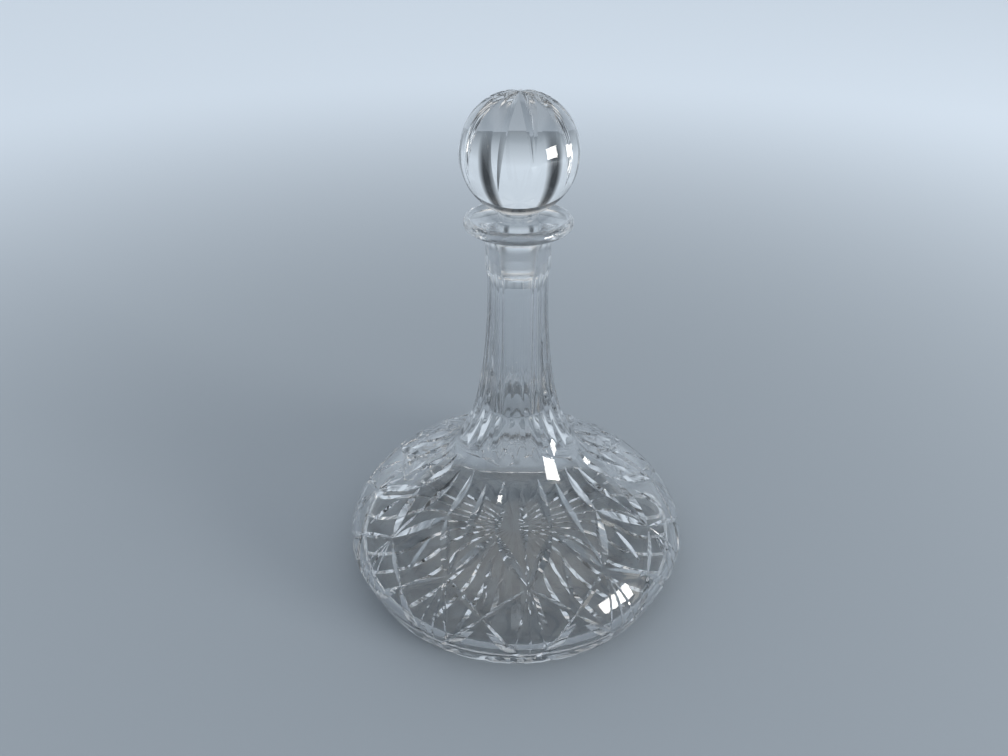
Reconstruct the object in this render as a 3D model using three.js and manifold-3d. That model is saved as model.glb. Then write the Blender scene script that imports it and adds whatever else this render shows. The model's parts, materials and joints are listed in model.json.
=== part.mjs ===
// Cut crystal ship's decanter with a ball stopper. Units are millimetres, +Z is up, the foot stands on Z = 0.
// Azimuth is counted from -Y towards +X, so azimuth 0 is the front. Angles of azimuth are in degrees.
import * as THREE from "three";
import { mergeVertices } from "three/addons/utils/BufferGeometryUtils.js";
import Module from "manifold-3d";

const wasm = await Module();
wasm.setup();

// Body outline, from the foot to the collar
const FOOT_RADIUS = 90.7;
const WIDEST_RADIUS = 97.5;
const WIDEST_HEIGHT = 19.5;
const FLANK_UPRIGHT = 3.3; // length below the widest line over which the flank stands upright
const DOME_HEIGHT = 31;
const CONE_RADIUS = 70; // where the dome runs into the cone
const CONE_HEIGHT = 11.5;
const FLARE_RADIUS = 47.5; // where the cone runs into the neck's sweep
const NECK_LENGTH = 114;
const COLLAR_RADIUS = 16.2;
const COLLAR_LENGTH = 18;
const DOME_RISE = 9.7; // curve handles: how long each end keeps its direction
const DOME_REACH = 16.9;
const FLARE_REACH = 20.6;
const NECK_REACH = 64.4;

// Lip and mouth
const LIP_RADIUS = 26.4;
const LIP_THICKNESS = 5.7;
const LIP_HEIGHT = 14.5; // from the collar's top to the rim's highest ring
const LIP_DISH = 5.5;
const MOUTH_FLARE = 1.75; // how much wider the mouth is than the seat's top
const MOUTH_EASE = 3.5; // height over which the mouth narrows to the seat

// Seat, bore and cavity
const SEAT_LENGTH = 20;
const SEAT_TOP_RADIUS = 9.95;
const SEAT_FOOT_RADIUS = 8.8;
const SEAT_RELIEF = 0.4; // how much wider the bore is than the seat's foot
const RELIEF_LENGTH = 3;
const BORE_LIFT = 39; // from the cone's top up to where the bore begins
const THROAT_HEIGHT = 30; // height over which the cavity closes in to the bore
const WALL = 5; // wall thickness of the neck's sweep and of the flank
const WALL_SWELL = 3; // how much thicker the wall is under the dome, half way between the two
const BASE_THICKNESS = 14.5; // under the flat middle of the cavity's floor
const BASE_EDGE = 6; // base thickness where the floor meets the flank
const FLOOR_TOP_RADIUS = 28; // the flat middle
const FLOOR_EASE = 34; // curve handles of the floor's fall from the middle to its edge
const FLOOR_FOOT = 17;
const FOOT_TO_CORNER = 7.2; // from the foot's edge in to where the cavity's corner begins
const CORNER_EASE = 1; // how far the corner's curve keeps off a square corner

// Stopper
const SEAT_CLEARANCE = 0.3;
const STEM_SWELL = 0.2; // how much wider the stem is than the peg's top
const BALL_RADIUS = 27.8;
const BALL_GAP = 3.3; // from the rim's highest ring up to the foot of the ball
const PEG_CHAMFER = 0.8;

// Cutting wheel
const WHEEL_HALF_ANGLE = THREE.MathUtils.degToRad(60);
const BALL_WHEEL_HALF_ANGLE = THREE.MathUtils.degToRad(68);
const WEDGE_HEIGHT = 4;
const WEDGE_RUNOUT = 0.08; // share of a cut's depth by which its ends stand clear of the surface

// Stars round the dome
const STAR_COUNT = 12;
const STAR_PHASE = 3.7;
const STAR_RADIUS = 80.5;
const PEAK_RADIUS = 57;
const SPEAR_TIP_RADIUS = 34.5;
const SHORT_SPEAR_TIP_RADIUS = 40.5;
const DIAGONAL_DEPTH = 1.1;
const DIAGONAL_SWEEP = 27.5; // azimuth that a diagonal crosses on its way down to the widest line
const CROWN_DEPTH = 2.2;
const SPEAR_DEPTH = 1.9;
const DROP_DEPTH = 1.1;
const DROP_TOP_RADIUS = 71;
const DROP_FOOT_RADIUS = 87;

// Flutes up the neck
const FLUTE_COUNT = 18;
const FLUTE_PHASE = 0;
const FLUTE_DEPTH = 1.25;
const FLUTE_FOOT_HEIGHT = 16; // from the cone's top up to where the flutes begin
const FLUTE_EASE = 30; // height over which a flute comes to its whole depth
const FLUTE_RISE = 6.5; // how far the flutes' tops reach up the collar
const FLUTE_ARCH = 6.5;

// Ball and base cuts
const BALL_CUT_COUNT = 10;
const BALL_CUT_PHASE = 14.5;
const BALL_CUT_DEPTH = 1.6;
const BALL_CUT_LEAD = 0.18; // share of a cut's leaf that would lie beyond the ball's top
const BALL_CUT_TIP = THREE.MathUtils.degToRad(-23.5); // latitude of the lower tips
const BASE_RAY_COUNT = 32;
const BASE_RAY_DEPTH = 1.6;
const BASE_HUB_RADIUS = 5;
const BASE_RAY_OVERRUN = 4;

// Fineness of the faceted solids
const AROUND = 48;
const AROUND_HOLLOW = 36;
const AROUND_BALL = 36;
const CUT_STEPS = 3;
const BALL_CUT_STEPS = 8;

const GLASS = { color: 0xe4edf2, roughness: 0.04, metalness: 0, transparent: true, opacity: 0.4 };

// Heights and radii that follow from the sizes above
const domeTop = WIDEST_HEIGHT + DOME_HEIGHT;
const coneTop = domeTop + CONE_HEIGHT;
const coneSlope = Math.atan2(CONE_HEIGHT, CONE_RADIUS - FLARE_RADIUS);
const collarFoot = coneTop + NECK_LENGTH;
const collarTop = collarFoot + COLLAR_LENGTH;
const lipTop = collarTop + LIP_HEIGHT;
const rimRadius = LIP_THICKNESS / 2;
const rimCentre = new THREE.Vector2(LIP_RADIUS - rimRadius, lipTop - rimRadius);
const mouthHeight = lipTop - LIP_DISH;
const mouthRadius = SEAT_TOP_RADIUS + MOUTH_FLARE;
const seatTop = mouthHeight - MOUTH_EASE;
const seatFoot = seatTop - SEAT_LENGTH;
const boreRadius = SEAT_FOOT_RADIUS + SEAT_RELIEF;
const boreFoot = coneTop + BORE_LIFT;

const point = (radius, height) => new THREE.Vector2(radius, height);

/** A point some way down the cone's slope from another, or up it when the length is negative. */
const downSlope = (start, length) =>
  point(start.x + length * Math.cos(coneSlope), start.y - length * Math.sin(coneSlope));

/** The flank below the widest line, from the foot upwards. */
function flankCurve() {
  const widest = point(WIDEST_RADIUS, WIDEST_HEIGHT);
  const upright = point(WIDEST_RADIUS, WIDEST_HEIGHT - FLANK_UPRIGHT);
  return new THREE.QuadraticBezierCurve(point(FOOT_RADIUS, 0), upright, widest);
}

/** The dome from the widest line up to the cone. */
function domeCurve() {
  const widest = point(WIDEST_RADIUS, WIDEST_HEIGHT);
  const upright = point(WIDEST_RADIUS, WIDEST_HEIGHT + DOME_RISE);
  const end = point(CONE_RADIUS, domeTop);
  return new THREE.CubicBezierCurve(widest, upright, downSlope(end, DOME_REACH), end);
}

/** The hollow sweep from the cone's top into the neck, up to the collar. */
function neckCurve() {
  const start = point(FLARE_RADIUS, coneTop);
  const upright = point(COLLAR_RADIUS, collarFoot - NECK_REACH);
  return new THREE.CubicBezierCurve(start, downSlope(start, -FLARE_REACH), upright, point(COLLAR_RADIUS, collarFoot));
}

/** Points of the blank's upper surface, from the widest line to the collar's foot. */
function upperOutline(domeSteps, neckSteps) {
  return [...domeCurve().getPoints(domeSteps), ...neckCurve().getPoints(neckSteps)];
}

const fineOutline = upperOutline(60, 90);

/** How thick the wall is at a radius of the outline. */
function wallAt(radius) {
  const share = THREE.MathUtils.clamp((radius - FLARE_RADIUS) / (WIDEST_RADIUS - FLARE_RADIUS), 0, 1);
  return WALL + WALL_SWELL * Math.sin(Math.PI * share) ** 2;
}

/** Moves each point of an outline inwards by the wall's thickness, square to the outline. */
function wallInside(points) {
  return points.map((p, i) => {
    const before = points[Math.max(i - 1, 0)];
    const after = points[Math.min(i + 1, points.length - 1)];
    const along = after.clone().sub(before).normalize();
    return point(p.x - along.y * wallAt(p.x), p.y + along.x * wallAt(p.x));
  });
}

/** The cavity's floor, from its flat middle out to where the corner begins. */
function floorCurve(cornerFoot) {
  const top = point(FLOOR_TOP_RADIUS, BASE_THICKNESS);
  const rise = point(FLOOR_TOP_RADIUS + FLOOR_EASE, BASE_THICKNESS);
  return new THREE.CubicBezierCurve(top, rise, point(cornerFoot.x - FLOOR_FOOT, BASE_EDGE), cornerFoot);
}

/** The cavity's wall from the middle of its floor up to the bore. */
function cavityOutline() {
  const wall = wallInside(upperOutline(5, 10));
  const spread = wall.filter((p) => p.x > boreRadius + WALL && p.y < boreFoot - THROAT_HEIGHT);
  const throat = spread[spread.length - 1];
  const cornerFoot = point(FOOT_RADIUS - FOOT_TO_CORNER, BASE_EDGE);
  const ease = point(spread[0].x - CORNER_EASE, BASE_EDGE + CORNER_EASE);
  const corner = new THREE.QuadraticBezierCurve(cornerFoot, ease, spread[0]);
  const steepness = (throat.y - spread[spread.length - 2].y) / (spread[spread.length - 2].x - throat.x);
  const meet = Math.min(throat.y + (throat.x - boreRadius) * steepness, boreFoot - WALL);
  const entry = new THREE.QuadraticBezierCurve(throat, point(boreRadius, meet), point(boreRadius, boreFoot));
  const floor = [point(0, BASE_THICKNESS), ...floorCurve(cornerFoot).getPoints(5)];
  return [...floor, ...corner.getPoints(3), ...spread.slice(1, -1), ...entry.getPoints(4)];
}

/** The lip's underside and rim, from the collar's top to the rim's highest ring. */
function lipOutline() {
  const under = point(rimCentre.x, rimCentre.y - rimRadius);
  const start = point(COLLAR_RADIUS, collarTop);
  const underside = new THREE.QuadraticBezierCurve(start, point(COLLAR_RADIUS, under.y - 1), under);
  const edge = new THREE.EllipseCurve(rimCentre.x, rimCentre.y, rimRadius, rimRadius, -Math.PI / 2, Math.PI / 2);
  return [...underside.getPoints(3), ...edge.getPoints(5)];
}

/** The mouth and the lip's dished upper face, from the seat's top out to the rim's highest ring. */
function mouthOutline() {
  const start = point(SEAT_TOP_RADIUS, seatTop);
  const rise = point(SEAT_TOP_RADIUS, mouthHeight - 1);
  const mouth = new THREE.QuadraticBezierCurve(start, rise, point(mouthRadius, mouthHeight));
  const dish = new THREE.CubicBezierCurve(
    point(mouthRadius, mouthHeight),
    point(mouthRadius + LIP_DISH / 2, mouthHeight + 1),
    point(rimCentre.x - LIP_DISH, lipTop - rimRadius / 2),
    point(rimCentre.x, lipTop),
  );
  return [...mouth.getPoints(2), ...dish.getPoints(3)];
}

/** Turns an outline of radius and height about the Z axis. */
function turned(outline, segments) {
  const spaced = outline.filter((p, i) => i === 0 || p.distanceTo(outline[i - 1]) > 0.05);
  return new THREE.LatheGeometry(spaced, segments).rotateX(Math.PI / 2);
}

/** Makes a closed geometry a solid that can be cut. */
function toSolid(geometry) {
  const bare = geometry.clone();
  bare.deleteAttribute("normal");
  bare.deleteAttribute("uv");
  const merged = mergeVertices(bare, 1e-3);
  const index = merged.index.array;
  const triangles = [];
  for (let i = 0; i < index.length; i += 3) {
    const [a, b, c] = [index[i], index[i + 1], index[i + 2]];
    if (a !== b && b !== c && c !== a) triangles.push(a, b, c);
  }
  const vertProperties = new Float32Array(merged.attributes.position.array);
  return new wasm.Manifold(new wasm.Mesh({ numProp: 3, vertProperties, triVerts: new Uint32Array(triangles) }));
}

/** Makes a solid a geometry again. */
function toGeometry(solid) {
  const mesh = solid.getMesh();
  const geometry = new THREE.BufferGeometry();
  geometry.setAttribute("position", new THREE.BufferAttribute(new Float32Array(mesh.vertProperties), 3));
  geometry.setIndex(new THREE.BufferAttribute(new Uint32Array(mesh.triVerts), 1));
  geometry.computeVertexNormals();
  return geometry;
}

/** The place at a radius, a height and an azimuth. */
function place(radius, height, azimuth) {
  const turn = THREE.MathUtils.degToRad(azimuth);
  return new THREE.Vector3(radius * Math.sin(turn), -radius * Math.cos(turn), height);
}

/** The place on the upper surface at a radius and an azimuth. */
function onSurface(radius, azimuth) {
  const i = Math.max(1, fineOutline.findIndex((p) => p.x <= radius));
  const [a, b] = [fineOutline[i - 1], fineOutline[i]];
  const share = a.x === b.x ? 0 : (a.x - radius) / (a.x - b.x);
  return place(radius, a.y + share * (b.y - a.y), azimuth);
}

/** The upper surface's point and normal in the direction of a point, seen from the foot's centre. */
function surfaceToward(target) {
  const climb = target.z / Math.hypot(target.x, target.y);
  const i = Math.max(1, fineOutline.findIndex((p) => p.y / p.x >= climb));
  const [a, b] = [fineOutline[i - 1], fineOutline[i]];
  const share = THREE.MathUtils.clamp((climb - a.y / a.x) / (b.y / b.x - a.y / a.x), 0, 1);
  const spot = a.clone().lerp(b, share);
  const along = b.clone().sub(a).normalize();
  const azimuth = THREE.MathUtils.radToDeg(Math.atan2(target.x, -target.y));
  return { position: place(spot.x, spot.y, azimuth), normal: place(along.y, -along.x, azimuth) };
}

/** The wheel's wedge, its edge running through the bottoms of the stations and its flanks opening outwards. */
function wedge(stations, halfAngle = WHEEL_HALF_ANGLE) {
  const spread = WEDGE_HEIGHT * Math.tan(halfAngle);
  const vertices = stations.flatMap(({ bottom, normal }, i) => {
    const before = stations[Math.max(i - 1, 0)].bottom;
    const after = stations[Math.min(i + 1, stations.length - 1)].bottom;
    const side = after.clone().sub(before).cross(normal).normalize();
    const top = bottom.clone().addScaledVector(normal, WEDGE_HEIGHT);
    return [bottom, top.clone().addScaledVector(side, spread), top.clone().addScaledVector(side, -spread)];
  });
  const index = [0, 1, 2];
  for (let i = 0; i + 1 < stations.length; i++) {
    for (let k = 0; k < 3; k++) {
      const [a, b] = [3 * i + k, 3 * i + ((k + 1) % 3)];
      index.push(a, a + 3, b, b, a + 3, b + 3);
    }
  }
  const last = 3 * (stations.length - 1);
  index.push(last, last + 2, last + 1);
  return new THREE.BufferGeometry().setFromPoints(vertices).setIndex(index);
}

/** How deep a leaf-shaped cut is at a share of its length: whole in the middle, running out at both ends. */
function leafDepth(share, depth) {
  return depth * ((1 + WEDGE_RUNOUT) * (1 - (2 * share - 1) ** 2) - WEDGE_RUNOUT);
}

/** Even shares of a length, from 0 to 1. */
const shares = (steps) => Array.from({ length: steps + 1 }, (_, i) => i / steps);

/** A leaf-shaped cut on the upper surface between two places. */
function surfaceCut(from, to, depth) {
  return wedge(
    shares(CUT_STEPS).map((share) => {
      const { position, normal } = surfaceToward(from.clone().lerp(to, share));
      return { bottom: position.addScaledVector(normal, -leafDepth(share, depth)), normal };
    }),
  );
}

/** The cuts of one star and the field above it, drawn about azimuth zero. */
function starCuts() {
  const half = 180 / STAR_COUNT;
  const star = onSurface(STAR_RADIUS, 0);
  const widest = (azimuth) => place(WIDEST_RADIUS, WIDEST_HEIGHT, azimuth);
  const crossing = [-1, 1].flatMap((side) => [
    surfaceCut(star, widest(side * DIAGONAL_SWEEP), DIAGONAL_DEPTH),
    surfaceCut(star, onSurface(PEAK_RADIUS, side * half), CROWN_DEPTH),
  ]);
  return [
    ...crossing,
    surfaceCut(star, widest(0), DIAGONAL_DEPTH),
    surfaceCut(star, onSurface(SHORT_SPEAR_TIP_RADIUS, 0), SPEAR_DEPTH),
    surfaceCut(onSurface(PEAK_RADIUS, half), onSurface(SPEAR_TIP_RADIUS, half), SPEAR_DEPTH),
    surfaceCut(onSurface(DROP_TOP_RADIUS, half), onSurface(DROP_FOOT_RADIUS, half), DROP_DEPTH),
  ];
}

/** The tool for one neck flute: all that lies outside the flute's floor, as wide as a flute needs. */
function fluteTool() {
  const foot = coneTop + FLUTE_FOOT_HEIGHT;
  const archFoot = collarFoot + FLUTE_RISE - FLUTE_ARCH;
  const fadeIn = (height) => Math.sin((Math.PI / 2) * THREE.MathUtils.clamp((height - foot) / FLUTE_EASE, 0, 1));
  const sweep = neckCurve().getPoints(12).filter((p) => p.y > foot && p.y < archFoot - 1);
  const floor = sweep.map((p) => point(p.x - FLUTE_DEPTH * fadeIn(p.y), p.y));
  const panel = COLLAR_RADIUS - FLUTE_DEPTH;
  const archTop = point(COLLAR_RADIUS + FLUTE_DEPTH / 3, archFoot + FLUTE_ARCH);
  const arch = new THREE.QuadraticBezierCurve(
    point(panel, archFoot),
    point(panel, archFoot + FLUTE_ARCH / 2),
    archTop,
  );
  const outside = floor[0].x + WALL;
  const rim = [point(outside, archTop.y), point(outside, floor[0].y)];
  const width = 3 * floor[0].x * Math.tan(Math.PI / FLUTE_COUNT);
  const shape = new THREE.Shape([...floor, ...arch.getPoints(3), ...rim]);
  const slab = new THREE.ExtrudeGeometry(shape, { depth: width, bevelEnabled: false }).translate(0, 0, -width / 2);
  const [front, up, left] = [new THREE.Vector3(0, -1, 0), new THREE.Vector3(0, 0, 1), new THREE.Vector3(-1, 0, 0)];
  return slab.applyMatrix4(new THREE.Matrix4().makeBasis(front, up, left));
}

/** One ray of the star under the base, from the hub out through the foot's edge. */
function baseRay() {
  const down = new THREE.Vector3(0, 0, -1);
  const reach = FOOT_RADIUS + BASE_RAY_OVERRUN;
  return wedge(
    shares(4).map((share) => {
      const depth = BASE_RAY_DEPTH * (Math.sqrt(share) - WEDGE_RUNOUT / 2);
      return { bottom: place(THREE.MathUtils.lerp(BASE_HUB_RADIUS, reach, share), depth, 0), normal: down };
    }),
  );
}

/** Takes a tool away from a solid at evenly spaced azimuths. */
function cutAround(solid, tool, count, phase) {
  let result = solid;
  for (let i = 0; i < count; i++) {
    const turn = THREE.MathUtils.degToRad(phase + (i * 360) / count);
    result = result.subtract(toSolid(tool.clone().rotateZ(turn)));
  }
  return result;
}

/** The blank before any cutting: the outside filled right across, less the hollow inside it. */
function blownBlank() {
  const outside = [...flankCurve().getPoints(2), ...upperOutline(6, 8), ...lipOutline()];
  const filled = turned([point(0, 0), ...outside, point(0, lipTop)], AROUND);
  const relief = [point(boreRadius, seatFoot - RELIEF_LENGTH), point(SEAT_FOOT_RADIUS, seatFoot)];
  const inside = [...cavityOutline(), ...relief, ...mouthOutline()];
  const hollow = turned([...inside, point(rimCentre.x, lipTop + 1), point(0, lipTop + 1)], AROUND_HOLLOW);
  return toSolid(filled).subtract(toSolid(hollow));
}

function decanterBody() {
  let body = cutAround(blownBlank(), fluteTool(), FLUTE_COUNT, FLUTE_PHASE);
  for (const cut of starCuts()) body = cutAround(body, cut, STAR_COUNT, STAR_PHASE);
  return toGeometry(cutAround(body, baseRay(), BASE_RAY_COUNT, 0));
}

/** One cut of the ball, an arc flatter than the ball from its top to a tip below its equator. */
function ballCut(centreHeight) {
  const centre = new THREE.Vector3(0, 0, centreHeight);
  return wedge(
    shares(BALL_CUT_STEPS).map((share) => {
      const latitude = THREE.MathUtils.lerp(Math.PI / 2, BALL_CUT_TIP, share);
      const normal = new THREE.Vector3(0, -Math.cos(latitude), Math.sin(latitude));
      const depth = leafDepth(THREE.MathUtils.lerp(BALL_CUT_LEAD, 1, share), BALL_CUT_DEPTH);
      return { bottom: centre.clone().addScaledVector(normal, BALL_RADIUS - depth), normal };
    }),
    BALL_WHEEL_HALF_ANGLE,
  );
}

function stopper() {
  const pegFootRadius = SEAT_FOOT_RADIUS - SEAT_CLEARANCE;
  const pegTopRadius = SEAT_TOP_RADIUS - SEAT_CLEARANCE;
  const stemRadius = pegTopRadius + STEM_SWELL;
  const neckAngle = Math.asin(stemRadius / BALL_RADIUS);
  const centreHeight = lipTop + BALL_GAP + BALL_RADIUS * Math.cos(neckAngle);
  const ball = new THREE.EllipseCurve(0, centreHeight, BALL_RADIUS, BALL_RADIUS, neckAngle - Math.PI / 2, Math.PI / 2);
  const ballPoints = ball.getPoints(12).slice(0, -1);
  const outline = [
    point(0, seatFoot),
    point(pegFootRadius - PEG_CHAMFER, seatFoot),
    point(pegFootRadius, seatFoot + PEG_CHAMFER),
    point(pegTopRadius, seatTop),
    point(stemRadius, lipTop),
    ...ballPoints,
    point(0, centreHeight + BALL_RADIUS),
  ];
  const blank = toSolid(turned(outline, AROUND_BALL));
  return toGeometry(cutAround(blank, ballCut(centreHeight), BALL_CUT_COUNT, BALL_CUT_PHASE));
}

function glassMesh(name, geometry) {
  const mesh = new THREE.Mesh(geometry, new THREE.MeshStandardMaterial(GLASS));
  mesh.name = name;
  return mesh;
}

const decanter = new THREE.Group();
decanter.add(glassMesh("decanter_body", decanterBody()));
decanter.add(glassMesh("stopper", stopper()));

export default decanter;
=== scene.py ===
"""A cut crystal ship's decanter with a ball stopper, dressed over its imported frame.

Sizes are written in millimetres and meshes are made in metres. Azimuth is counted in degrees from -Y (the
front) towards +X. Each glass piece is a turned blank from which a cutting wheel takes flutes, leaves and
grooves.
"""
from __future__ import annotations

import json
import logging
import math
from dataclasses import dataclass, field
from enum import Enum
from typing import Sequence

import bmesh
import bpy
import numpy as np
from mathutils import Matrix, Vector

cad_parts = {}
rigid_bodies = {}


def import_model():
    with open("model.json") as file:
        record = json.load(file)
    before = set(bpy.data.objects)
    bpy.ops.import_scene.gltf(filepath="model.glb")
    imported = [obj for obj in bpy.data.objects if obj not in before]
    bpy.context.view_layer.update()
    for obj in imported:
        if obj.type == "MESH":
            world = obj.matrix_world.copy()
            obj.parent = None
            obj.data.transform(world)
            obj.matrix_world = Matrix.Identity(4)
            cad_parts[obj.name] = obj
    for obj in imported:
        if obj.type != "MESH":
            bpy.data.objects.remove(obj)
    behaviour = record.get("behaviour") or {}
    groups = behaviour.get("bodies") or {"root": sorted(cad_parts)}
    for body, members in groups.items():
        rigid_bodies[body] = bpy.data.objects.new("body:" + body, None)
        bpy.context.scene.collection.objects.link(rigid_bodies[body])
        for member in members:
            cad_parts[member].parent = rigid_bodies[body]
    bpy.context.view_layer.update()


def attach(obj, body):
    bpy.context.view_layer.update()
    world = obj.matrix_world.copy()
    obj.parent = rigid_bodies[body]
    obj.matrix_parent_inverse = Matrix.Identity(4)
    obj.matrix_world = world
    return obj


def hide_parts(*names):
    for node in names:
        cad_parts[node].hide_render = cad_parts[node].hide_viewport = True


LOG = logging.getLogger("decanter")
MM = 0.001
Pair = tuple[float, float]
Color = tuple[float, float, float]


class Side(Enum):
    """The hand of a cut that leans away from a star's middle line."""

    LEFT = -1.0
    RIGHT = 1.0


def bezier(steps: int, *controls: Sequence[float]) -> np.ndarray:
    """Points along a Bezier curve of any degree.

    Args:
        steps: how many even parameter steps the curve is split into.
        controls: the control points, ends included.

    Returns:
        An array with one row for each of the steps + 1 points.
    """
    share = np.linspace(0.0, 1.0, steps + 1)[:, None]
    rows = [np.asarray(control, float)[None, :] for control in controls]
    while len(rows) > 1:
        rows = [(1.0 - share) * a + share * b for a, b in zip(rows[:-1], rows[1:])]
    return rows[0]


def arc(steps: int, centre: Pair, radius: float, start: float, end: float) -> np.ndarray:
    """Points along a circle's arc in the plane of radius and height.

    Args:
        steps: how many even steps the arc is split into.
        centre: the circle's centre.
        radius: the circle's radius.
        start: the angle of the first point in degrees, 0 pointing away from the axis and 90 up.
        end: the angle of the last point in degrees.

    Returns:
        An array with one row for each of the steps + 1 points.
    """
    turn = np.radians(np.linspace(start, end, steps + 1))
    return np.stack([centre[0] + radius * np.cos(turn), centre[1] + radius * np.sin(turn)], axis=1)


def place(radius: float, height: float, azimuth: float) -> Vector:
    """The point at a radius, a height and an azimuth, in millimetres."""
    turn = math.radians(azimuth)
    return Vector((radius * math.sin(turn), -radius * math.cos(turn), height))


def new_object(
    name: str, corners: Sequence[Sequence[float]], faces: Sequence[Sequence[int]]
) -> bpy.types.Object:
    """Makes a mesh object from corners in millimetres, with its faces turned outwards.

    Args:
        name: the object's name.
        corners: the corner points in millimetres.
        faces: each face's corner numbers.

    Returns:
        The object, linked to the scene.
    """
    mesh = bpy.data.meshes.new(name)
    points = [tuple(value * MM for value in corner) for corner in corners]
    mesh.from_pydata(points, [], [tuple(face) for face in faces])
    shell = bmesh.new()
    shell.from_mesh(mesh)
    bmesh.ops.recalc_face_normals(shell, faces=shell.faces)
    shell.to_mesh(mesh)
    shell.free()
    piece = bpy.data.objects.new(name, mesh)
    bpy.context.scene.collection.objects.link(piece)
    return piece


def turned(name: str, outline: np.ndarray, around: int) -> bpy.types.Object:
    """Turns an outline about the Z axis into a closed shell.

    Args:
        name: the object's name.
        outline: rows of radius and height; a row with no radius is a pole.
        around: how many steps the turn is split into.

    Returns:
        The turned object.
    """
    corners: list[tuple[float, float, float]] = []
    rings: list[list[int]] = []
    turns = np.arange(around) * (2.0 * math.pi / around)
    for radius, height in outline:
        first = len(corners)
        if radius < 1e-6:
            corners.append((0.0, 0.0, float(height)))
            rings.append([first] * around)
            continue
        for t in turns:
            corners.append((float(radius * math.sin(t)), float(-radius * math.cos(t)), float(height)))
        rings.append(list(range(first, first + around)))
    faces = []
    for low, high in zip(rings[:-1], rings[1:]):
        for k in range(around):
            after = (k + 1) % around
            loop = [low[k], low[after], high[after], high[k]]
            faces.append(list(dict.fromkeys(loop)))
    return new_object(name, corners, faces)


@dataclass(frozen=True)
class Wheel:
    """A cutting wheel with a mitred edge that leaves a V groove."""

    half_angle: float = 54.0
    reach: float = 4.0
    runout: float = 0.06
    steps: int = 16

    def leaf_depth(self, share: float, depth: float) -> float:
        """How deep a leaf-shaped cut is at a share of its length; it runs out just inside both ends."""
        return depth * ((1.0 + self.runout) * (1.0 - (2.0 * share - 1.0) ** 2) - self.runout)

    def wedge(self, name: str, bottoms: Sequence[Vector], normals: Sequence[Vector]) -> bpy.types.Object:
        """Makes the solid that the wheel takes away on its way along a groove.

        Args:
            name: the solid's name.
            bottoms: points along the groove's bottom.
            normals: the surface's outward direction at each of them.

        Returns:
            The closed wedge.
        """
        spread = self.reach * math.tan(math.radians(self.half_angle))
        corners = []
        for i, (bottom, normal) in enumerate(zip(bottoms, normals)):
            along = bottoms[min(i + 1, len(bottoms) - 1)] - bottoms[max(i - 1, 0)]
            side = along.cross(normal).normalized()
            top = bottom + normal * self.reach
            corners += [bottom, top + side * spread, top - side * spread]
        faces = [[0, 1, 2], [len(corners) - 3, len(corners) - 1, len(corners) - 2]]
        for i in range(len(bottoms) - 1):
            for k in range(3):
                a, b = 3 * i + k, 3 * i + (k + 1) % 3
                faces.append([a, a + 3, b + 3, b])
        return new_object(name, corners, faces)


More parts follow.
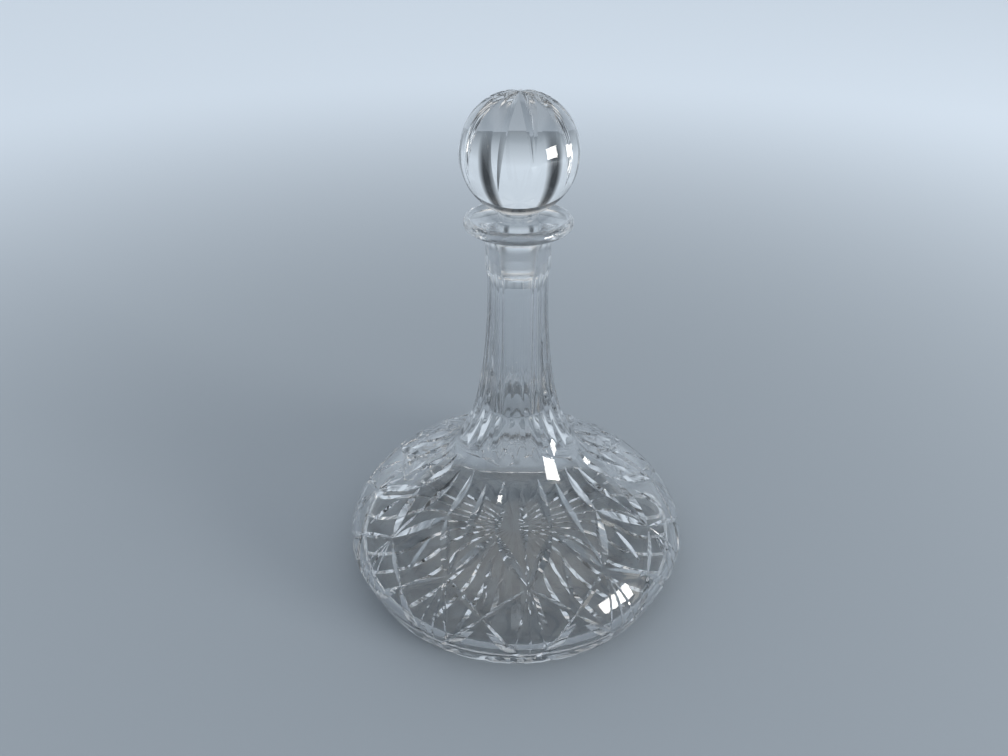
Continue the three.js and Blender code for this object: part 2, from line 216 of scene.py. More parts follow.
@dataclass(frozen=True)
class Outline:
    """The outline of the blown body, in millimetres of radius and height."""

    foot_radius: float = 90.7
    widest_radius: float = 97.5
    widest_height: float = 19.5
    flank_upright: float = 3.3
    dome_height: float = 31.0
    cone_radius: float = 70.0
    cone_height: float = 11.5
    flare_radius: float = 47.5
    neck_length: float = 114.0
    collar_radius: float = 16.2
    collar_length: float = 18.0
    dome_rise: float = 9.7
    dome_reach: float = 16.9
    flare_reach: float = 20.6
    neck_reach: float = 64.4
    lip_radius: float = 26.4
    lip_thickness: float = 5.7
    lip_height: float = 14.5
    lip_dish: float = 5.5
    mouth_flare: float = 1.75
    mouth_ease: float = 3.5
    seat_length: float = 20.0
    seat_top_radius: float = 9.95
    seat_foot_radius: float = 8.8
    seat_relief: float = 0.4
    relief_length: float = 3.0
    bore_lift: float = 39.0
    throat_height: float = 30.0
    wall: float = 5.0
    wall_swell: float = 3.0
    base_thickness: float = 14.5
    base_edge: float = 6.0
    floor_top_radius: float = 28.0
    floor_ease: float = 34.0
    floor_foot: float = 17.0
    cavity_corner: float = 9.0
    corner_ease: float = 1.0

    @property
    def dome_top(self) -> float:
        """Height at which the dome runs into the cone."""
        return self.widest_height + self.dome_height

    @property
    def cone_top(self) -> float:
        """Height at which the cone runs into the neck's sweep."""
        return self.dome_top + self.cone_height

    @property
    def collar_foot(self) -> float:
        """Height at which the neck reaches the collar."""
        return self.cone_top + self.neck_length

    @property
    def collar_top(self) -> float:
        """Height at which the lip springs from the collar."""
        return self.collar_foot + self.collar_length

    @property
    def lip_top(self) -> float:
        """Height of the rim's highest ring."""
        return self.collar_top + self.lip_height

    @property
    def rim(self) -> float:
        """Radius of the round that the rim follows."""
        return self.lip_thickness / 2.0

    @property
    def mouth_height(self) -> float:
        """Height of the dished lip where the mouth begins."""
        return self.lip_top - self.lip_dish

    @property
    def seat_top(self) -> float:
        """Height of the ground seat's top."""
        return self.mouth_height - self.mouth_ease

    @property
    def seat_foot(self) -> float:
        """Height of the ground seat's foot, where the peg ends."""
        return self.seat_top - self.seat_length

    @property
    def bore_radius(self) -> float:
        """Radius of the bore below the seat."""
        return self.seat_foot_radius + self.seat_relief

    def down_slope(self, start: Pair, length: float) -> Pair:
        """A point some way down the cone's slope from another, or up it when the length is negative."""
        slope = math.atan2(self.cone_height, self.cone_radius - self.flare_radius)
        return start[0] + length * math.cos(slope), start[1] - length * math.sin(slope)

    def flank(self, steps: int) -> np.ndarray:
        """Points of the flank, from the foot up to the widest line."""
        upright = (self.widest_radius, self.widest_height - self.flank_upright)
        return bezier(steps, (self.foot_radius, 0.0), upright, (self.widest_radius, self.widest_height))

    def upper(self, dome_steps: int, neck_steps: int) -> np.ndarray:
        """Points of the upper surface, from the widest line over dome and cone up to the collar's foot."""
        widest = (self.widest_radius, self.widest_height)
        rise = (self.widest_radius, self.widest_height + self.dome_rise)
        cone = (self.cone_radius, self.dome_top)
        flare = (self.flare_radius, self.cone_top)
        collar = (self.collar_radius, self.collar_foot)
        upright = (self.collar_radius, self.collar_foot - self.neck_reach)
        dome = bezier(dome_steps, widest, rise, self.down_slope(cone, self.dome_reach), cone)
        cone_steps = max(2, dome_steps // 3)
        between = bezier(cone_steps, cone, flare)[1:-1]
        neck = bezier(neck_steps, flare, self.down_slope(flare, -self.flare_reach), upright, collar)
        return np.vstack([dome, between, neck])

    def lip(self) -> np.ndarray:
        """Points of the lip, from the collar's top round the rim and down the dish to the seat's top."""
        centre = (self.lip_radius - self.rim, self.lip_top - self.rim)
        under = (centre[0], centre[1] - self.rim)
        spring = (self.collar_radius, self.collar_top)
        underside = bezier(10, spring, (self.collar_radius, under[1] - 1.0), under)
        edge = arc(16, centre, self.rim, -90.0, 90.0)
        mouth_radius = self.seat_top_radius + self.mouth_flare
        dish = bezier(
            12,
            (centre[0], self.lip_top),
            (centre[0] - self.lip_dish, self.lip_top - self.rim / 2.0),
            (mouth_radius + self.lip_dish / 2.0, self.mouth_height + 1.0),
            (mouth_radius, self.mouth_height),
        )
        seat = (self.seat_top_radius, self.seat_top)
        ease = (self.seat_top_radius, self.mouth_height - 1.0)
        mouth = bezier(6, (mouth_radius, self.mouth_height), ease, seat)
        return np.vstack([underside, edge[1:], dish[1:], mouth[1:]])

    def hollow(self) -> np.ndarray:
        """Points of the hollow, from the seat's top down the bore and the wall to the floor's middle."""
        upper = self.upper(36, 54)
        along = np.gradient(upper, axis=0)
        along /= np.linalg.norm(along, axis=1)[:, None]
        span = self.widest_radius - self.flare_radius
        share = np.clip((upper[:, 0] - self.flare_radius) / span, 0.0, 1.0)
        thickness = self.wall + self.wall_swell * np.sin(math.pi * share) ** 2
        wall = upper + thickness[:, None] * np.stack([-along[:, 1], along[:, 0]], axis=1)
        bore_foot = self.cone_top + self.bore_lift
        clear = wall[:, 0] > self.bore_radius + self.wall
        spread = wall[clear & (wall[:, 1] < bore_foot - self.throat_height)]
        throat, before = spread[-1], spread[-2]
        steepness = (throat[1] - before[1]) / (before[0] - throat[0])
        meet = min(throat[1] + (throat[0] - self.bore_radius) * steepness, bore_foot - self.wall)
        entry = bezier(16, (self.bore_radius, bore_foot), (self.bore_radius, meet), throat)
        corner_foot = (spread[0][0] - self.cavity_corner, self.base_edge)
        ease = (spread[0][0] - self.corner_ease, self.base_edge + self.corner_ease)
        corner = bezier(10, spread[0], ease, corner_foot)
        seat = bezier(4, (self.seat_top_radius, self.seat_top), (self.seat_foot_radius, self.seat_foot))
        relief = (self.bore_radius, self.seat_foot - self.relief_length)
        bore = bezier(8, relief, (self.bore_radius, bore_foot))
        fall = (corner_foot[0] - self.floor_foot, self.base_edge)
        rise = (self.floor_top_radius + self.floor_ease, self.base_thickness)
        mound = bezier(24, corner_foot, fall, rise, (self.floor_top_radius, self.base_thickness))
        floor = np.vstack([mound, bezier(3, mound[-1], (0.0, self.base_thickness))[1:]])
        return np.vstack([seat[1:], bore, entry[1:], spread[-2:0:-1], corner, floor[1:]])


@dataclass
class Surface:
    """The outer surface of the blown body, on which the wheel's paths are laid out."""

    outline: Outline
    points: np.ndarray = field(init=False)

    def __post_init__(self) -> None:
        """Traces the outline finely from the foot to the collar."""
        self.points = np.vstack([self.outline.flank(60)[:-1], self.outline.upper(160, 200)])

    def at(self, height: float, azimuth: float) -> Vector:
        """The surface's point at a height and an azimuth."""
        radius = float(np.interp(height, self.points[:, 1], self.points[:, 0]))
        return place(radius, height, azimuth)

    def toward(self, target: Vector) -> tuple[Vector, Vector]:
        """The surface's point and outward normal towards a target, seen from the foot's centre."""
        climb = self.points[:, 1] / self.points[:, 0]
        wanted = target.z / math.hypot(target.x, target.y)
        height = float(np.interp(wanted, climb, self.points[:, 1]))
        radius = float(np.interp(wanted, climb, self.points[:, 0]))
        i = int(np.clip(np.searchsorted(climb, wanted), 1, len(climb) - 2))
        along = self.points[i + 1] - self.points[i - 1]
        azimuth = math.degrees(math.atan2(target.x, -target.y))
        return place(radius, height, azimuth), place(along[1], -along[0], azimuth).normalized()


@dataclass(frozen=True)
class Leaf:
    """One leaf-shaped cut between two places, each given as azimuth and height."""

    name: str
    start: Pair
    end: Pair
    depth: float
    bow: float = 0.0
    wheel: Wheel = Wheel()

    def make(self, surface: Surface) -> bpy.types.Object:
        """Makes the leaf's wedge on a surface.

        Args:
            surface: the surface that is cut.

        Returns:
            The closed wedge.
        """
        first, last = surface.at(self.start[1], self.start[0]), surface.at(self.end[1], self.end[0])
        bottoms, normals = [], []
        for i in range(self.wheel.steps + 1):
            share = i / self.wheel.steps
            straight = first.lerp(last, share)
            _, outward = surface.toward(straight)
            sideways = (last - first).cross(outward).normalized() * (self.bow * 4.0 * share * (1.0 - share))
            point, normal = surface.toward(straight + sideways)
            bottoms.append(point - normal * self.wheel.leaf_depth(share, self.depth))
            normals.append(normal)
        return self.wheel.wedge(self.name, bottoms, normals)


class CutRing:
    """A Geometry Nodes tree that takes a cutter away from a blank at even steps round the axis."""

    def __init__(self) -> None:
        """Builds the tree once; every ring of cuts uses it with its own inputs."""
        self.tree = bpy.data.node_groups.new("ring of cuts", "GeometryNodeTree")
        face = self.tree.interface
        face.new_socket("Blank", in_out="INPUT", socket_type="NodeSocketGeometry")
        face.new_socket("Cutter", in_out="INPUT", socket_type="NodeSocketObject")
        face.new_socket("Count", in_out="INPUT", socket_type="NodeSocketInt")
        face.new_socket("Phase", in_out="INPUT", socket_type="NodeSocketFloat")
        face.new_socket("Finish", in_out="INPUT", socket_type="NodeSocketMaterial")
        face.new_socket("Geometry", in_out="OUTPUT", socket_type="NodeSocketGeometry")
        inputs = self._node("NodeGroupInput")
        cutter = self._node("GeometryNodeObjectInfo", settings={"transform_space": "ORIGINAL"})
        self._link(inputs.outputs["Cutter"], cutter.inputs["Object"])
        points = self._node("GeometryNodePoints")
        self._link(inputs.outputs["Count"], points.inputs["Count"])
        step = self._math("DIVIDE", math.tau, inputs.outputs["Count"])
        turn = self._math("MULTIPLY", self._node("GeometryNodeInputIndex").outputs[0], step)
        turn = self._math("ADD", turn, inputs.outputs["Phase"])
        spin = self._node("ShaderNodeCombineXYZ")
        self._link(turn, spin.inputs["Z"])
        rotation = self._node("FunctionNodeEulerToRotation")
        self._link(spin.outputs[0], rotation.inputs[0])
        ring = self._node("GeometryNodeInstanceOnPoints")
        self._link(points.outputs[0], ring.inputs["Points"])
        self._link(cutter.outputs["Geometry"], ring.inputs["Instance"])
        self._link(rotation.outputs[0], ring.inputs["Rotation"])
        boolean = {"operation": "DIFFERENCE", "solver": "MANIFOLD"}
        cut = self._node("GeometryNodeMeshBoolean", settings=boolean)
        self._link(inputs.outputs["Blank"], cut.inputs["Mesh 1"])
        self._link(ring.outputs[0], cut.inputs["Mesh 2"])
        real = self._node("GeometryNodeRealizeInstances")
        self._link(cut.outputs[0], real.inputs[0])
        dress = self._node("GeometryNodeSetMaterial")
        self._link(real.outputs[0], dress.inputs["Geometry"])
        self._link(inputs.outputs["Finish"], dress.inputs["Material"])
        self._link(dress.outputs[0], self._node("NodeGroupOutput").inputs[0])

    def _node(self, kind: str, settings: dict[str, str] | None = None) -> bpy.types.Node:
        """Adds one node and sets its options."""
        node = self.tree.nodes.new(kind)
        for option, value in (settings or {}).items():
            setattr(node, option, value)
        return node

    def _link(self, source: bpy.types.NodeSocket, target: bpy.types.NodeSocket) -> None:
        """Joins two sockets."""
        self.tree.links.new(source, target)

    def _math(self, operation: str, *values: bpy.types.NodeSocket | float) -> bpy.types.NodeSocket:
        """Adds one Math node on sockets or numbers and returns its result."""
        node = self._node("ShaderNodeMath", settings={"operation": operation})
        for socket, value in zip(node.inputs, values):
            if isinstance(value, (int, float)):
                socket.default_value = value
            else:
                self._link(value, socket)
        return node.outputs[0]

    def _identifier(self, name: str) -> str:
        """The identifier of the named input."""
        sockets = self.tree.interface.items_tree
        return next(s.identifier for s in sockets if s.name == name and s.in_out == "INPUT")

    def cut(
        self,
        blank: bpy.types.Object,
        cutter: bpy.types.Object,
        count: int,
        phase: float,
        finish: bpy.types.Material,
    ) -> None:
        """Cuts a ring of copies of the cutter out of the blank, and removes the cutter.

        Args:
            blank: the object that is cut; its mesh is replaced.
            cutter: one solid of the ring, drawn at azimuth zero.
            count: how many copies go round the axis.
            phase: the first copy's azimuth in degrees.
            finish: the material of the result.
        """
        ring = blank.modifiers.new("ring of cuts", "NODES")
        ring.node_group = self.tree
        ring[self._identifier("Cutter")] = cutter
        ring[self._identifier("Count")] = count
        ring[self._identifier("Phase")] = math.radians(phase)
        ring[self._identifier("Finish")] = finish
        blank.update_tag()
        depsgraph = bpy.context.evaluated_depsgraph_get()
        result = bpy.data.meshes.new_from_object(blank.evaluated_get(depsgraph))
        blank.modifiers.remove(ring)
        spent = blank.data
        blank.data = result
        bpy.data.meshes.remove(spent)
        used = cutter.data
        bpy.data.objects.remove(cutter)
        bpy.data.meshes.remove(used)
        LOG.info("%s: %d faces after a ring of %d", blank.name, len(result.polygons), count)


class Wire:
    """A number socket of a shader that takes part in Python expressions."""

    def __init__(self, graph: "Graph", socket: bpy.types.NodeSocket) -> None:
        """Keeps the socket and the graph that its Math nodes go to."""
        self.graph = graph
        self.socket = socket

    def _with(self, operation: str, *values: "Wire | float", clamp: bool = False) -> "Wire":
        """Adds one Math node on wires or numbers.

        Args:
            operation: the Math node's operation.
            values: its inputs in order.
            clamp: whether the result is kept between 0 and 1.

        Returns:
            The node's result.
        """
        settings = {"operation": operation, "use_clamp": clamp}
        inputs = {i: value for i, value in enumerate(values)}
        return Wire(self.graph, self.graph.node("ShaderNodeMath", settings, inputs).outputs[0])

    def __add__(self, other: "Wire | float") -> "Wire":
        """This plus another."""
        return self._with("ADD", self, other)

    def __sub__(self, other: "Wire | float") -> "Wire":
        """This less another."""
        return self._with("SUBTRACT", self, other)

    def __rsub__(self, other: float) -> "Wire":
        """A number less this."""
        return self._with("SUBTRACT", other, self)

    def __mul__(self, other: "Wire | float") -> "Wire":
        """This times another."""
        return self._with("MULTIPLY", self, other)

    def __truediv__(self, other: "Wire | float") -> "Wire":
        """This divided by another."""
        return self._with("DIVIDE", self, other)

    __radd__ = __add__
    __rmul__ = __mul__

    def clamped(self) -> "Wire":
        """This kept between 0 and 1."""
        return self._with("ADD", self, 0.0, clamp=True)

    def root(self) -> "Wire":
        """The square root of this."""
        return self._with("SQRT", self)


class Graph:
    """A shader node tree with one way of adding nodes."""

    def __init__(self, tree: bpy.types.NodeTree) -> None:
        """Empties the tree and starts it anew."""
        self.tree = tree
        self.tree.nodes.clear()

    def node(
        self,
        kind: str,
        settings: dict[str, object] | None = None,
        inputs: dict[str | int, object] | None = None,
    ) -> bpy.types.Node:
        """Adds a node.

        Args:
            kind: the node's type.
            settings: options, set before the inputs.
            inputs: values, sockets or wires by input name or number.

        Returns:
            The node.
        """
        node = self.tree.nodes.new(kind)
        for option, value in (settings or {}).items():
            setattr(node, option, value)
        for key, value in (inputs or {}).items():
            source = value.socket if isinstance(value, Wire) else value
            if isinstance(source, bpy.types.NodeSocket):
                self.tree.links.new(source, node.inputs[key])
            else:
                node.inputs[key].default_value = source
        return node

    def wire(self, node: bpy.types.Node, output: str | int = 0) -> Wire:
        """One of a node's results as a wire."""
        return Wire(self, node.outputs[output])

    def blend(self, share: Wire, first: object, second: object) -> bpy.types.NodeSocket:
        """Mixes two colours.

        Args:
            share: how much of the second colour is taken.
            first: a colour socket or three numbers.
            second: a colour socket or three numbers.

        Returns:
            The mixed colour.
        """
        ends = {key: (*c, 1.0) if isinstance(c, tuple) else c for key, c in ((6, first), (7, second))}
        return self.node("ShaderNodeMix", {"data_type": "RGBA"}, {0: share, **ends}).outputs[2]

    def surface(self, shader: bpy.types.Node, kind: str = "ShaderNodeOutputMaterial") -> None:
        """Ends the tree in a shader."""
        self.node(kind, inputs={"Surface": shader.outputs[0]})


def new_material(name: str) -> tuple[bpy.types.Material, Graph]:
    """Starts a material and its empty node tree."""
    material = bpy.data.materials.new(name)
    material.use_nodes = True
    return material, Graph(material.node_tree)


@dataclass(frozen=True)
class CrystalFinish:
    """Clear lead crystal: polished all over, and ground matt where the stopper meets its seat."""

    name: str
    ground_foot: float
    ground_top: float
    ground_radius: float
    tint: Color = (0.985, 0.992, 0.998)
    index: float = 1.545
    polish: float = 0.004
    haze: float = 0.02
    ground: float = 0.16
    wave_size: float = 14.0
    wave_height: float = 0.05
    grain_size: float = 0.35
    grain_height: float = 0.02
    grain_roughness: float = 0.05
    end_fade: float = 0.4
    side_fade: float = 0.2
    smear_scale: float = 45.0
    smear_level: float = 0.52
    smear_contrast: float = 4.0

    def material(self) -> bpy.types.Material:
        """Builds the glass with its polish, hand marks, waviness and ground band.

        Returns:
            The material.
        """
        material, graph = new_material(self.name)
        where = graph.node("ShaderNodeTexCoord").outputs["Object"]
        split = graph.node("ShaderNodeSeparateXYZ", inputs={0: where})
        x, y, z = (graph.wire(split, i) for i in range(3))
        radius = (x * x + y * y).root()
        above = ((z - self.ground_foot * MM) * (1.0 / (self.end_fade * MM))).clamped()
        below = ((self.ground_top * MM - z) * (1.0 / (self.end_fade * MM))).clamped()
        within = ((self.ground_radius * MM - radius) * (1.0 / (self.side_fade * MM))).clamped()
        ground = above * below * within
        smear_inputs = {"Vector": where, "Scale": self.smear_scale, "Detail": 3.0}
        smears = graph.node("ShaderNodeTexNoise", inputs=smear_inputs)
        marks = ((graph.wire(smears) - self.smear_level) * self.smear_contrast).clamped()
        grain_inputs = {"Vector": where, "Scale": 1.0 / (self.grain_size * MM), "Detail": 2.0}
        grain = graph.node("ShaderNodeTexNoise", inputs=grain_inputs)
        wave_inputs = {"Vector": where, "Scale": 1.0 / (self.wave_size * MM)}
        wave = graph.node("ShaderNodeTexNoise", inputs=wave_inputs)
        height = graph.wire(wave) * self.wave_height + graph.wire(grain) * ground * self.grain_height
        bump = graph.node("ShaderNodeBump", inputs={"Strength": 1.0, "Distance": MM, "Height": height})
        matt = self.ground + graph.wire(grain) * self.grain_roughness
        roughness = self.polish + marks * self.haze + ground * matt
        shader = graph.node(
            "ShaderNodeBsdfPrincipled",
            inputs={
                "Base Color": (*self.tint, 1.0),
                "Metallic": 0.0,
                "IOR": self.index,
                "Transmission Weight": 1.0,
                "Roughness": roughness,
                "Normal": bump.outputs[0],
            },
        )
        graph.surface(shader)
        return material


@dataclass(frozen=True)
class FloorWithPaintedShade:
    """A matt table top with painted shade: darker around the object, paling with the distance from it."""

    name: str = "floor paint"
    # painted shade: the dark colour next to the object
    painted_shade_near: Color = (0.27, 0.31, 0.35)
    far: Color = (0.66, 0.74, 0.82)
    painted_shade_radius: float = 120.0
    far_radius: float = 1500.0

    def material(self) -> bpy.types.Material:
        """Builds the matt paint, with its painted shade round the object.

        Returns:
            The material.
        """
        material, graph = new_material(self.name)
        where = graph.node("ShaderNodeTexCoord").outputs["Object"]
        split = graph.node("ShaderNodeSeparateXYZ", inputs={0: where})
        x, y = (graph.wire(split, i) for i in range(2))
        # Painted shade: darkest near the object, easing out to the pale far colour.
        span = (self.far_radius - self.painted_shade_radius) * MM
        reach = ((x * x + y * y).root() - self.painted_shade_radius * MM) * (1.0 / span)
        eased = reach.clamped()
        share = eased * eased * (3.0 - eased * 2.0)
        color = graph.blend(share, self.painted_shade_near, self.far)
        inputs = {"Base Color": color, "Roughness": 0.9, "Specular IOR Level": 0.1}
        graph.surface(graph.node("ShaderNodeBsdfPrincipled", inputs=inputs))
        return material


def polish_edges(piece: bpy.types.Object, angle: float) -> None:
    """Shades a piece smooth, with every edge sharper than the angle in degrees left crisp."""
    for polygon in piece.data.polygons:
        polygon.use_smooth = True
    piece.data.set_sharp_from_angle(angle=math.radians(angle))


@dataclass
class Body:
    """The blown and cut body: turned blank, neck flutes, stars, field of leaves and base star."""

    outline: Outline
    ring: CutRing
    around: int = 216
    sharp: float = 11.0
    stars: int = 12
    star_phase: float = 3.7
    star_height: float = 44.0
    cross_height: float = 33.0
    peak_height: float = 57.5
    flute_count: int = 18
    flute_depth: float = 1.42
    flute_hollow: float = 0.2
    flute_foot: float = 18.0
    flute_ease: float = 24.0
    flute_exit: float = 9.0
    ray_count: int = 32
    ray_depth: float = 1.1
    ray_angle: float = 74.0
    ray_hub: float = 7.0

    def leaves(self) -> list[Leaf]:
        """The leaves of one star and of the field above and below it, drawn about azimuth zero.

        Returns:
            Every leaf that repeats once for each star.
        """
        half = 180.0 / self.stars
        node = (0.0, self.star_height)
        cuts = []
        for side in Side:
            lean = side.value * half
            tag = side.name.lower()
            upper_end = (lean * 1.08, self.cross_height - 1.2)
            lower_start = (lean * 0.9, self.cross_height + 1.6)
            cuts.append(Leaf(f"upper diagonal {tag}", node, upper_end, 1.15))
            cuts.append(Leaf(f"lower diagonal {tag}", lower_start, (lean * 1.97, 7.0), 1.9))
            cuts.append(Leaf(f"crown {tag}", node, (lean, self.peak_height), 2.2, bow=side.value * 0.8))
            cuts.append(Leaf(f"fan {tag}", node, (side.value * 5.2, 17.0), 0.5))
        cuts.append(Leaf("fan middle", (0.0, self.star_height - 1.0), (0.0, 14.0), 0.62))
        cuts.append(Leaf("drop", (half, 51.5), (half, 38.2), 1.15))
        cuts.append(Leaf("bud", (0.0, self.star_height), (0.0, 53.5), 0.75))
        cuts.append(Leaf("long spear", (half, self.peak_height - 0.5), (half, 76.0), 2.0))
        cuts.append(Leaf("short spear", (0.0, 53.0), (0.0, 72.5), 1.8))
        return cuts

    def flute_tool(self) -> bpy.types.Object:
        """Makes the solid that one flute takes away: all that lies outside its slightly hollow floor.

        Returns:
            The closed tool, drawn at azimuth zero.
        """
        o = self.outline
        foot = o.cone_top + self.flute_foot
        neck = o.upper(60, 120)
        heights = np.linspace(foot, o.collar_foot, 64)
        blank = np.interp(heights, neck[:, 1], neck[:, 0])
        fade = np.sin(np.clip((heights - foot) / self.flute_ease, 0.0, 1.0) * (math.pi / 2.0))
        floor = np.stack([blank - self.flute_depth * fade + 0.3 * (1.0 - fade), heights], axis=1)
        share = np.linspace(0.0, 1.0, 13)[1:]
        rise_out = floor[-1, 0] + (self.flute_depth + 0.5) * share**2
        leave = np.stack([rise_out, o.collar_foot + self.flute_exit * share], axis=1)
        floor = np.vstack([floor, leave])
        wide = 1.5 * float(blank[0]) * math.tan(math.pi / self.flute_count)
        across = np.linspace(-wide, wide, 25)
        narrow = o.collar_radius * math.sin(math.pi / self.flute_count)
        hollow = self.flute_hollow * np.minimum(1.0, (across / narrow) ** 2)
        outside = float(blank[0]) + o.wall
        corners, rows = [], []
        for radius, height in floor:
            rows.append(len(corners))
            corners += [(float(x), float(-(radius + rise)), float(height)) for x, rise in zip(across, hollow)]
            corners += [(float(x), -outside, float(height)) for x in across[::-1]]
        loop = 2 * len(across)
        faces = [list(range(loop)), [rows[-1] + k for k in range(loop)][::-1]]
        for low, high in zip(rows[:-1], rows[1:]):
            for k in range(loop):
                after = (k + 1) % loop
                faces.append([low + k, low + after, high + after, high + k])
        return new_object("flute tool", corners, faces)

    def base_ray(self) -> bpy.types.Object:
        """Makes the wedge of one ray of the star under the foot, from the hub out past the foot's edge."""
        wheel = Wheel(half_angle=self.ray_angle, steps=12)
        reach = self.outline.foot_radius + 4.0
        bottoms = []
        for i in range(wheel.steps + 1):
            share = i / wheel.steps
            radius = self.ray_hub + (reach - self.ray_hub) * share
            bottoms.append(place(radius, self.ray_depth * (math.sqrt(share) - 0.04), 0.0))
        return wheel.wedge("base ray", bottoms, [Vector((0.0, 0.0, -1.0))] * len(bottoms))

    def build(self, finish: bpy.types.Material) -> bpy.types.Object:
        """Turns the blank and makes every cut.

        Args:
            finish: the crystal that the body is made of.

        Returns:
            The finished body.
        """
        o = self.outline
        outside = np.vstack([o.flank(14), o.upper(40, 64)[1:], bezier(4, *self._collar())[1:-1], o.lip()])
        floor = bezier(5, (0.0, 0.0), (o.foot_radius, 0.0))
        blank = turned("cut_body", np.vstack([floor[:-1], outside, o.hollow()]), self.around)
        self.ring.cut(blank, self.flute_tool(), self.flute_count, 0.0, finish)
        surface = Surface(o)
        for leaf in self.leaves():
            self.ring.cut(blank, leaf.make(surface), self.stars, self.star_phase, finish)
        self.ring.cut(blank, self.base_ray(), self.ray_count, 0.0, finish)
        polish_edges(blank, self.sharp)
        return blank

    def _collar(self) -> tuple[Pair, Pair]:
        """The collar's foot and top."""
        o = self.outline
        return (o.collar_radius, o.collar_foot), (o.collar_radius, o.collar_top)


@dataclass
class Stopper:
    """The ball stopper: ball, stem and ground peg turned in one, with grooves from pole to waist."""

    outline: Outline
    ring: CutRing
    around: int = 180
    sharp: float = 12.0
    clearance: float = 0.3
    stem_swell: float = 0.2
    ball_radius: float = 27.8
    ball_gap: float = 3.2
    chamfer: float = 0.8
    grooves: int = 10
    groove_phase: float = 14.5
    groove_depth: float = 1.6
    groove_angle: float = 68.0
    groove_lead: float = 0.18
    groove_tip: float = -23.5

    @property
    def stem_radius(self) -> float:
        """Radius of the stem above the peg."""
        return self.outline.seat_top_radius - self.clearance + self.stem_swell

    @property
    def centre(self) -> float:
        """Height of the ball's centre."""
        neck = math.asin(self.stem_radius / self.ball_radius)
        return self.outline.lip_top + self.ball_gap + self.ball_radius * math.cos(neck)

    def groove(self) -> bpy.types.Object:
        """Makes the wedge of one groove, an arc flatter than the ball from its top to below its waist."""
        wheel = Wheel(half_angle=self.groove_angle, steps=28)
        middle = Vector((0.0, 0.0, self.centre))
        bottoms, normals = [], []
        for i in range(wheel.steps + 1):
            share = i / wheel.steps
            latitude = math.radians(90.0 + (self.groove_tip - 90.0) * share)
            normal = Vector((0.0, -math.cos(latitude), math.sin(latitude)))
            depth = wheel.leaf_depth(self.groove_lead + (1.0 - self.groove_lead) * share, self.groove_depth)
            bottoms.append(middle + normal * (self.ball_radius - depth))
            normals.append(normal)
        return wheel.wedge("groove", bottoms, normals)

    def build(self, finish: bpy.types.Material) -> bpy.types.Object:
        """Turns the stopper and cuts its grooves.

        Args:
            finish: the crystal that the stopper is made of.

        Returns:
            The finished stopper.
        """
        o = self.outline
        foot = o.seat_foot_radius - self.clearance
        top = o.seat_top_radius - self.clearance
        start = -math.degrees(math.acos(self.stem_radius / self.ball_radius))
        ball = arc(100, (0.0, self.centre), self.ball_radius, start, 90.0)
        ball[-1, 0] = 0.0
        end = bezier(4, (0.0, o.seat_foot), (foot - self.chamfer, o.seat_foot))
        peg = bezier(10, (foot, o.seat_foot + self.chamfer), (top, o.seat_top))
        stem = bezier(6, (self.stem_radius, o.lip_top), (self.stem_radius, float(ball[0, 1])))
        blank = turned("ball_stopper", np.vstack([end, peg, stem[:-1], ball]), self.around)
        self.ring.cut(blank, self.groove(), self.grooves, self.groove_phase, finish)
        polish_edges(blank, self.sharp)
        return blank


@dataclass(frozen=True)
class Lamp:
    """A soft rectangular lamp."""

    name: str
    azimuth: float
    distance: float
    height: float
    size: Pair
    power: float
    color: Color = (1.0, 1.0, 1.0)

    def hang(self, target: Vector) -> None:
        """Hangs the lamp and turns it to a target in metres."""
        light = bpy.data.lights.new(self.name, "AREA")
        light.shape = "RECTANGLE"
        light.size, light.size_y = self.size
        light.energy = self.power
        light.color = self.color
        lamp = bpy.data.objects.new(self.name, light)
        bpy.context.scene.collection.objects.link(lamp)
        lamp.location = place(self.distance, self.height, self.azimuth)
        lamp.rotation_euler = (target - lamp.location).to_track_quat("-Z", "Y").to_euler()
        lamp.visible_camera = False


@dataclass(frozen=True)
class ScreenPaintedLightAndShade:
    """Pale glowing paper; painted shade in soft dark bands at even steps and at its foot; a painted light
    patch towards the window.
    """

    name: str = "screen paper"
    pale: Color = (0.62, 0.70, 0.78)
    # painted shade: the colour of the soft dark bands at even steps
    painted_shade_band: Color = (0.035, 0.04, 0.045)
    # painted light: a glowing patch brighter than white that stands in for the window
    window: Color = (3.0, 2.9, 2.7)
    window_azimuth: float = 62.0
    # painted shade: the darker colour towards the screen's foot
    foot: Color = (0.20, 0.235, 0.27)
    foot_height: float = 170.0
    shade_band_contrast: float = 2.2
    shade_band_level: float = 1.1
    window_edge: float = 0.965
    window_contrast: float = 60.0
    window_foot: float = 60.0
    window_top: float = 260.0
    end_contrast: float = 200.0

    def material(self) -> bpy.types.Material:
        """Builds the paper from the direction of each place on it.

        Returns:
            The material.
        """
        material, graph = new_material(self.name)
        where = graph.node("ShaderNodeTexCoord").outputs["Object"]
        split = graph.node("ShaderNodeSeparateXYZ", inputs={0: where})
        x, y, z = (graph.wire(split, i) for i in range(3))
        level = x * x + y * y
        fourfold = 1.0 - (x * x) * (y * y) * 8.0 / (level * level)
        eightfold = fourfold * fourfold * 2.0 - 1.0
        # Painted shade: soft dark bands at eightfold even steps round the screen.
        painted_shade_bands = ((0.0 - eightfold) * self.shade_band_contrast - self.shade_band_level).clamped()
        turn = math.radians(self.window_azimuth)
        facing = (x * math.sin(turn) - y * math.cos(turn)) / level.root()
        above = ((z - self.window_foot * MM) * self.end_contrast).clamped()
        below = ((self.window_top * MM - z) * self.end_contrast).clamped()
        # Painted light: the bright glowing patch towards the window.
        painted_window_light = ((facing - self.window_edge) * self.window_contrast).clamped() * above * below
        # Painted shade: darker towards the foot, fading into the floor's shaded tone.
        foot = (1.0 - z * (1.0 / (self.foot_height * MM))).clamped()
        paper = graph.blend(foot, graph.blend(painted_shade_bands, self.pale, self.painted_shade_band), self.foot)
        color = graph.blend(painted_window_light, paper, self.window)
        graph.surface(graph.node("ShaderNodeEmission", inputs={"Color": color, "Strength": 1.0}))
        return material


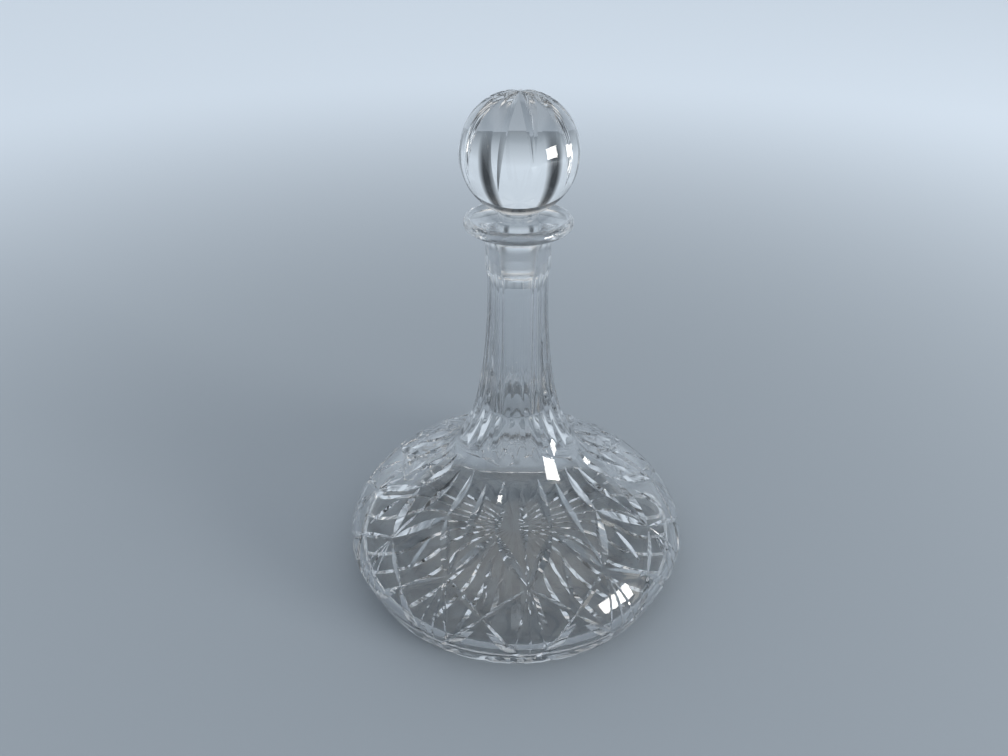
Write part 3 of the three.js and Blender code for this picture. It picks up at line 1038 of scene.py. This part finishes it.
@dataclass(frozen=True)
class Screen:
    """A round paper screen that shows only in rays that pass through the glass; its painted shade and painted
    light draw the glass's edges.
    """

    radius: float = 450.0
    height: float = 520.0
    around: int = 96

    def build(self) -> bpy.types.Object:
        """Stands the screen round the table.

        Returns:
            The screen.
        """
        turns = [360.0 * k / self.around for k in range(self.around)]
        corners = [place(self.radius, height, turn) for height in (0.5, self.height) for turn in turns]
        after = [(k + 1) % self.around for k in range(self.around)]
        faces = [[k, after[k], self.around + after[k], self.around + k] for k in range(self.around)]
        screen = new_object("screen", corners, faces)
        # the screen's glow carries painted shade bands and painted window light
        screen.data.materials.append(ScreenPaintedLightAndShade().material())
        screen.visible_camera = False
        screen.visible_diffuse = False
        screen.visible_glossy = False
        screen.visible_shadow = False
        return screen


@dataclass(frozen=True)
class Sky:
    """The world: plain for the camera and the light, and a room of walls, belt and ceiling for the glass."""

    rear: Color = (0.72, 0.81, 0.90)
    others: Color = (0.50, 0.55, 0.60)
    belt: Color = (0.04, 0.045, 0.05)
    ceiling: Color = (0.80, 0.80, 0.79)
    seen: Color = (0.62, 0.70, 0.78)
    fill: Color = (0.9, 0.92, 0.95)
    cornice: float = 0.5
    ceiling_edge: float = 0.68
    rear_edge: float = 0.35
    rear_contrast: float = 5.0
    cornice_contrast: float = 12.0
    ceiling_contrast: float = 8.0

    def paint(self) -> None:
        """Paints the world; the camera sees one pale colour beyond the floor."""
        world = bpy.data.worlds.new("studio")
        bpy.context.scene.world = world
        world.use_nodes = True
        graph = Graph(world.node_tree)
        direction = graph.node("ShaderNodeTexCoord").outputs["Generated"]
        split = graph.node("ShaderNodeSeparateXYZ", inputs={0: direction})
        back, up = graph.wire(split, "Y"), graph.wire(split, "Z")
        behind = ((back - self.rear_edge) * self.rear_contrast).clamped()
        over_cornice = ((up - self.cornice) * self.cornice_contrast).clamped()
        overhead = ((up - self.ceiling_edge) * self.ceiling_contrast).clamped()
        walls = graph.blend(behind, self.others, self.rear)
        shaded = graph.blend(over_cornice, walls, self.belt)
        dome = graph.blend(overhead, shaded, self.ceiling)
        path = graph.node("ShaderNodeLightPath")
        plain_level = graph.blend(graph.wire(path, "Is Diffuse Ray"), dome, self.fill)
        shown = graph.blend(graph.wire(path, "Is Camera Ray"), plain_level, self.seen)
        background = graph.node("ShaderNodeBackground", inputs={"Color": shown})
        graph.surface(background, "ShaderNodeOutputWorld")


@dataclass(frozen=True)
class Studio:
    """The floor, the screen that only the glass shows, a soft window, the world and the camera."""

    # the floor's paint carries painted shade round the object
    floor: FloorWithPaintedShade = FloorWithPaintedShade()
    floor_radius: float = 6.0
    floor_drop: float = 0.05
    floor_corners: int = 72
    aim: float = 0.1
    bounces: int = 40
    glossy_bounces: int = 16
    camera_place: tuple[float, float, float] = (-6.92, -344.8, 333.2)
    pitch: float = 58.0
    focal_pixels: float = 757.0
    frame_pixels: float = 1008.0
    window: Lamp = Lamp("window", 62.0, 2.6, 0.62, (1.0, 0.8), 50.0, (1.0, 0.97, 0.93))

    def build(self) -> None:
        """Lays the floor, stands the screen, hangs the lamp, paints the world and sets the camera."""
        step = 360.0 / self.floor_corners
        corners = [
            place(self.floor_radius / MM, -self.floor_drop, step * k) for k in range(self.floor_corners)
        ]
        floor = new_object("floor", corners, [list(range(self.floor_corners))])
        floor.data.materials.append(self.floor.material())
        if floor.data.polygons[0].normal.z < 0.0:
            floor.data.flip_normals()
        Screen().build()
        self.window.hang(Vector((0.0, 0.0, self.aim)))
        Sky().paint()
        self._camera()
        cycles = bpy.context.scene.cycles
        cycles.max_bounces = self.bounces
        cycles.transmission_bounces = self.bounces
        cycles.glossy_bounces = self.glossy_bounces

    def _camera(self) -> None:
        """Sets the camera at the photograph's angle."""
        camera = bpy.data.cameras.new("camera")
        camera.sensor_width = 36.0
        camera.lens = 36.0 * self.focal_pixels / self.frame_pixels
        camera.clip_start = 0.01
        stand = bpy.data.objects.new("camera", camera)
        bpy.context.scene.collection.objects.link(stand)
        stand.location = Vector(self.camera_place) * MM
        stand.rotation_euler = (math.radians(self.pitch), 0.0, 0.0)
        bpy.context.scene.camera = stand


def main() -> None:
    """Builds the decanter over its frame, sets the studio and logs both pieces' face counts."""
    logging.basicConfig(level=logging.INFO, format="%(name)s: %(message)s")
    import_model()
    scene = bpy.context.scene
    scene.view_settings.view_transform = "Standard"
    outline = Outline()
    ring = CutRing()
    ground = {"ground_foot": outline.seat_foot, "ground_top": outline.seat_top, "ground_radius": 11.0}
    body = Body(outline, ring).build(CrystalFinish("body crystal", **ground).material())
    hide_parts("decanter_body")
    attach(body, "decanter")
    LOG.info("body: %d faces", len(body.data.polygons))
    stopper = Stopper(outline, ring).build(CrystalFinish("stopper crystal", **ground).material())
    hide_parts("stopper")
    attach(stopper, "stopper")
    LOG.info("stopper: %d faces", len(stopper.data.polygons))
    Studio().build()


if __name__ == "__main__":
    main()
